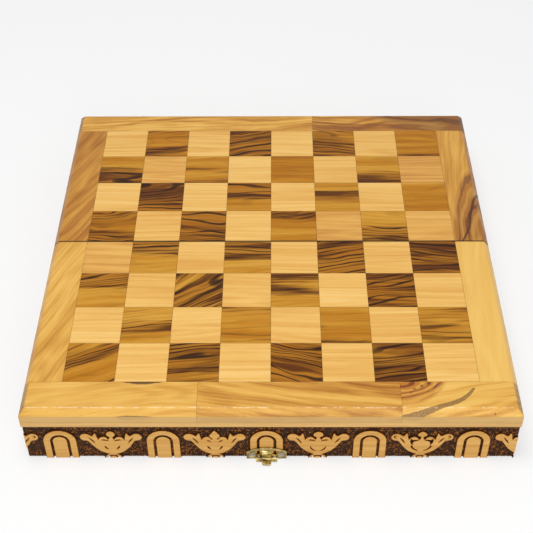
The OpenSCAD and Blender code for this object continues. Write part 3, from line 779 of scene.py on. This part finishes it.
panel = {"step": 12, "tone": 0.1, "seed": 30}
for side in (-1, 1):
    y0, y1 = sorted((side * board["seam"], side * board["depth"]))
    # drawn upside down so that the rounded rim is the lower one: u along x, v along -y, w down
    block = boardBlock(-board["half"], board["half"], -y1, -y0, 0, panel["seed"] + side, panel["tone"],
                       low=-board["low"], top=-board["panelLow"], step=panel["step"],
                       free=("x0", "x1", "y1" if side == -1 else "y0"))
    block = turned(block, [[1, 0, 0], [0, -1, 0], [0, 0, -1]])
    makePiece(f"{words[side]}_panel", [block], finishes["panel"], bodies[side])
print("panels laid")


# inset is how far a wall stands back from the board's edge, shift how far the arch nearest to
# the clasp lies from the middle of the front wall
wall = {"height": 30.5, "thick": 9, "inset": 0.4, "relief": 1.2, "pitch": 62.9, "shift": -2.6,
        "stepU": 0.29, "stepV": 0.4, "slope": 0.3, "round": 0.4, "edge": 0.35, "wobble": 0.12}
archShape = {"half": 10, "top": 26.2, "ring": 4.1, "groove": 1.6}
# depth of the punched pits, roughness between them, and the bright row of grains below the lip
punch = {"depth": 0.35, "rough": 0.16, "jitter": 0.14, "row": (28.3, 29.3), "rowFleck": 3.5}
# the ring and the eye on the rim below each palmette: radii, and centres below the rim
footShape = {"outer": 6.0, "inner": 4.8, "ringDrop": 2.1, "eye": 2.3, "eyeDrop": 0.5, "reach": 21}
# right half of the palmette in millimetres: from its foot up the bowl to the scroll, over the
# pointed outer leaf and the round inner one to the neck of the bud
palmetteSide = [(0, 3.7), (2.0, 3.7), (4.1, 4.6), (6.4, 6.0), (8.6, 8.0), (10.6, 10.5), (12.2, 13.1),
                (13.5, 15.4), (14.7, 16.8), (16.4, 17.1), (18, 18.1), (18.8, 20), (18.3, 21.9),
                (16.8, 23.2), (14.9, 23.4), (13.3, 22.6), (12.1, 21.5), (11.1, 21.4), (10.4, 22.5),
                (9.5, 24), (8.9, 22.2), (8.4, 19.6), (8, 17.5), (7.4, 18.7), (6.5, 19.8), (5.1, 20.4),
                (3.6, 20.2), (2.6, 19.2), (1.9, 17.9)]
buds = {"ball": [(1.2, 18.9), (1.0, 20.2), (1.9, 21.0), (2.6, 22.4), (2.3, 24.2), (1.2, 25.3), (0, 25.6)],
        "point": [(1.5, 18.9), (2.3, 19.7), (3.1, 21.0), (2.9, 22.4), (1.9, 24.0), (0.9, 25.4), (0, 26.4)],
        "cap": [(1.2, 18.9), (1.2, 20.4), (2.6, 21.2), (3.1, 22.6), (2.4, 24.2), (1.2, 25.0), (0, 25.4)],
        "hood": [(1.0, 18.6), (0.9, 20.6), (2.3, 21.4), (2.9, 22.8), (2.0, 24.2), (0.7, 25.2), (0, 25.5)]}
slits = {"arm": [(13.6, 19.9), (12.1, 18.5), (10.9, 16.6), (10, 14.3), (11.6, 16.3), (12.6, 17.9)],
         "leaf": [(6.4, 17.4), (4.6, 18), (2.9, 17.6), (1.6, 16.6), (3, 16.7), (4.6, 17.1)],
         "heart": [(4.7, 11.6), (3.9, 10.9), (3.1, 9.7), (2.4, 8.2), (3.7, 9), (4.4, 10)],
         "wedge": [(5.0, 17.2), (3.4, 17.0), (2.2, 15.2), (3.3, 15.9), (4.2, 16.5)],
         "heartLow": [(4.9, 11.8), (4.1, 10.2), (2.9, 8.4), (1.4, 7.5), (1.5, 7.1), (3.3, 7.7), (4.5, 9.3)],
         "pocket": [(6.6, 18.6), (7.0, 16.4), (6.4, 14.0), (5.0, 12.4), (5.4, 14.2), (4.6, 15.9),
                    (2.6, 16.8), (1.5, 17.6), (3.6, 17.7), (5.5, 17.6)],
         "bowl": [(6.4, 11.4), (5.6, 9.4), (4.0, 7.8), (1.8, 6.9), (1.9, 7.5), (3.8, 8.7), (5.0, 10.4),
                  (5.7, 12.2)],
         "curl": [(15.2, 21.5), (16.6, 21.6), (17.3, 20.4), (16.5, 19.3), (15.2, 19.2), (16.4, 19.9),
                  (16.6, 20.8)]}
# one entry for each motif from left to right, repeated along a wall
motifs = [{"bud": "ball", "slits": ("arm", "leaf", "heart")},
          {"bud": "point", "slits": ("arm", "wedge", "heart")},
          {"bud": "cap", "slits": ("arm", "leaf", "heartLow")},
          {"bud": "hood", "slits": ("arm", "pocket", "bowl", "curl")}]


def smoothLoop(points, parts=5):
    # closed smooth curve through the points: on each stretch a cubic whose slope at a point is
    # half the step from the point before it to the point after it
    p = np.array(points, float)
    a, b, c, d = np.roll(p, 1, 0), p, np.roll(p, -1, 0), np.roll(p, -2, 0)
    t = np.linspace(0, 1, parts, endpoint=False)[:, None, None]
    curve = 0.5 * (2 * b + (c - a) * t + (2 * a - 5 * b + 4 * c - d) * t ** 2
                   + (3 * b - 3 * c + d - a) * t ** 3)
    return curve.transpose(1, 0, 2).reshape(-1, 2)


def insideLoop(x, y, loop):
    # signed distance to a closed loop, positive inside: nearest point on any side, sign by
    # how often a level ray crosses the loop
    best = np.full(x.shape, 1e9)
    crossings = np.zeros(x.shape, int)
    for (ax, ay), (bx, by) in zip(loop, np.roll(loop, -1, 0)):
        ex, ey = bx - ax, by - ay
        t = np.clip(((x - ax) * ex + (y - ay) * ey) / (ex * ex + ey * ey + 1e-12), 0, 1)
        best = np.minimum(best, (x - ax - t * ex) ** 2 + (y - ay - t * ey) ** 2)
        hit = (ay > y) != (by > y)
        crossings += hit & (x < ax + ex * (y - ay) / (ey if ey else 1e-12))
    return np.where(crossings % 2 == 1, 1, -1) * np.sqrt(best)


def insideArch(x, y, halfWidth, top):
    # signed distance to a round-headed doorway that runs on below the rim
    centre = top - halfWidth
    return halfWidth - np.where(y > centre, np.hypot(x, y - centre), np.abs(x))


def motifShape(motif, x, y):
    # signed distance to one palmette with its slits taken out, and to the ring and eye below it
    f = footShape
    halfLoop = palmetteSide + buds[motif["bud"]]
    shape = insideLoop(x, y, smoothLoop(halfLoop + [(-px, py) for px, py in halfLoop[-2:0:-1]]))
    for name in motif["slits"]:
        shape = np.minimum(shape, -insideLoop(np.abs(x), y, smoothLoop(slits[name], 4)))
    toRing = np.hypot(x, y + f["ringDrop"])
    ring = np.minimum(f["outer"] - toRing, toRing - f["inner"])
    eye = f["eye"] - np.hypot(x, y + f["eyeDrop"])
    return np.maximum.reduce([shape, ring, eye])


def bandShape(u, v, middle):
    # signed distance to the raised motifs: arches in the middle of each cell, and a palmette
    # between two cells
    cell = np.round((u - middle) / wall["pitch"])
    x = u - middle - cell * wall["pitch"]
    half, top, ring = (archShape[key] for key in ("half", "top", "ring"))
    ringIn = insideArch(x, v, half - ring, top - ring)
    core = ring + archShape["groove"]
    raised = np.maximum(np.minimum(insideArch(x, v, half, top), -ringIn),
                        insideArch(x, v, half - core, top - core))
    gap = np.floor((u - middle) / wall["pitch"])
    x = u - middle - (gap + 0.5) * wall["pitch"]
    for number in np.unique(gap):
        here = (gap == number) & (np.abs(x) < footShape["reach"])
        if here.any():
            motif = motifs[int(number + 2) % len(motifs)]
            raised[here] = np.maximum(raised[here], motifShape(motif, x[here], v[here]))
    return raised


def carvedBlock(halfLength, middle, seed):
    # depth below the face: 0 inside the motifs, the full relief outside, with a steep
    # side between; grid points near an outline are moved onto it so that it stays sharp,
    # and four points of every twenty-five on the ground are punched in, in staggered rows
    w = wall
    us = np.linspace(-halfLength, halfLength, int(round(2 * halfLength / w["stepU"])) + 1)
    vs = np.linspace(0, w["height"], int(round(w["height"] / w["stepV"])) + 1)
    u, v = np.meshgrid(us, vs, indexing="ij")
    wave = np.sin(u * 5.1 + 1.7 * np.sin(v * 2.3)) * np.sin(v * 4.7 + 1.3 * np.sin(u * 1.9))
    raised = bandShape(u, v, middle) + w["wobble"] * wave
    gu, gv = np.gradient(raised, us, vs)
    size = np.maximum(np.hypot(gu, gv), 0.3)
    half = w["stepV"] / 2
    goal = np.where(raised > -w["slope"] / 2, 0.0, -w["slope"])
    near = (raised < half) & (raised > -w["slope"] - half) & (size < 1.6)
    near[[0, -1], :] = near[:, [0, -1]] = False
    move = np.where(near, np.clip(goal - raised, -w["stepU"] * 0.9, w["stepU"] * 0.9), 0) / size
    u2, v2 = u + move * gu, v + move * gv
    raised = np.where(near, goal, raised)
    level = np.clip(1 + raised / w["slope"], 0, 1)
    cut = (level < 0.05) & (raised < -w["slope"] - 0.15)
    i, j = np.meshgrid(np.arange(len(us)), np.arange(len(vs)), indexing="ij")
    pit = cut & (j % 5 < 2) & ((i + 2 * (j // 5 % 2)) % 5 < 2)
    dice = np.random.default_rng(seed)
    chance, fleck = dice.uniform(size=(2, *u.shape))
    # in a row close below the lip the grains are brighter and the pits deeper
    rowLow, rowHigh = punch["row"]
    fleck = np.where(cut & (v > rowLow) & (v < rowHigh) & (i % 4 < 2), punch["rowFleck"], fleck)
    u2 += np.where(pit, punch["jitter"] * (chance - 0.5), 0)
    soft = 0.3 * w["round"] * np.clip(1 - raised / w["round"], 0, 1) ** 2 * (level > 0.99)
    depth = w["relief"] * (1 - level) + soft
    depth += np.where(pit, punch["depth"] * (0.6 + 0.4 * fleck), 0)
    depth += np.where(cut & ~pit, punch["rough"] * (chance - 0.6), 0)
    edge = np.clip(1 - np.clip(raised, 0, 1) / w["edge"], 0, 1)
    relief = np.where(level > 0.99, 1 - 0.12 * edge, level * 0.6)
    values = {"grain": grainAt(u2, v2, -depth, 0, seed), "tone": np.zeros(u.shape), "relief": relief,
              "figure": np.ones(u.shape), "pit": pit * (0.55 + 0.45 * chance), "fleck": fleck}
    block = closedBlock(np.stack([u2, v2, -depth], -1), -w["thick"], values)
    # the ends are stained like the ground and the rims are bare: relief far below 0 or above 1
    foot = block["points"][u.size:]
    atEnd = np.abs(foot[:, 0]) > halfLength - 0.01
    block["values"]["relief"][u.size:, 0] = np.where(atEnd, -far, far)
    return block


carvedWalls = [
    {"node": "front_wall", "side": -1, "out": (0, -1), "seed": 51},
    {"node": "rear_wall", "side": 1, "out": (0, 1), "seed": 52},
    {"node": "front_left_wall", "side": -1, "out": (-1, 0), "seed": 53},
    {"node": "front_right_wall", "side": -1, "out": (1, 0), "seed": 54},
    {"node": "rear_left_wall", "side": 1, "out": (-1, 0), "seed": 55},
    {"node": "rear_right_wall", "side": 1, "out": (1, 0), "seed": 56},
]
face = board["half"] - wall["inset"]
inner = face - wall["thick"]
for c in carvedWalls:
    ox, oy = c["out"]
    if oy:
        halfLength, middle, shift = face, oy * -wall["shift"], (0, oy * face, 0)
    else:
        halfLength, middle = (inner - board["seam"]) / 2, 0.0
        shift = (ox * face, c["side"] * (inner + board["seam"]) / 2, 0)
    # u runs to the right of someone who faces the wall, v up, w out of it
    block = carvedBlock(halfLength, middle, c["seed"])
    block = turned(block, [[-oy, ox, 0], [0, 0, 1], [ox, oy, 0]], shift)
    piece = makePiece(c["node"], [block], finishes["carved"], bodies[c["side"]], sharp=50)
    print(piece.name, len(piece.data.polygons), "faces")
print("walls carved")


def softened(nodeName, material, body, width):
    # the CAD solid with its seams merged and its edges rounded
    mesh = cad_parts[nodeName].data.copy()
    shell = bmesh.new()
    shell.from_mesh(mesh)
    bmesh.ops.remove_doubles(shell, verts=shell.verts, dist=1e-6)
    bmesh.ops.dissolve_limit(shell, angle_limit=math.radians(1), verts=shell.verts, edges=shell.edges)
    shell.to_mesh(mesh)
    shell.free()
    mesh.materials.clear()
    mesh.materials.append(material)
    mesh.polygons.foreach_set("use_smooth", np.ones(len(mesh.polygons), bool))
    piece = bpy.data.objects.new(camelName(nodeName), mesh)
    bpy.context.collection.objects.link(piece)
    rounding = piece.modifiers.new("roundedEdges", "BEVEL")
    rounding.width, rounding.segments = width * mm, 2
    rounding.limit_method, rounding.angle_limit = "ANGLE", math.radians(35)
    rounding.harden_normals = True
    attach(piece, body)
    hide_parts(nodeName)
    return piece


rearMetal = ("keeper", "right_hinge_rear", "left_hinge_rear", "rear_hinge")
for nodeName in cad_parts:
    steel = nodeName.endswith("screws")
    if not (steel or "hinge" in nodeName or nodeName.startswith(("clasp", "keeper"))):
        continue
    body = "hasp" if nodeName == "clasp_hasp" else bodies[1 if nodeName.startswith(rearMetal) else -1]
    softened(nodeName, finishes["steel" if steel else "brass"], body, 0.08)
for nodeName in ("front_seam_wall", "rear_seam_wall"):
    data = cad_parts[nodeName].data
    data.materials.clear()
    data.materials.append(finishes["plain"])
print("metal fitted")
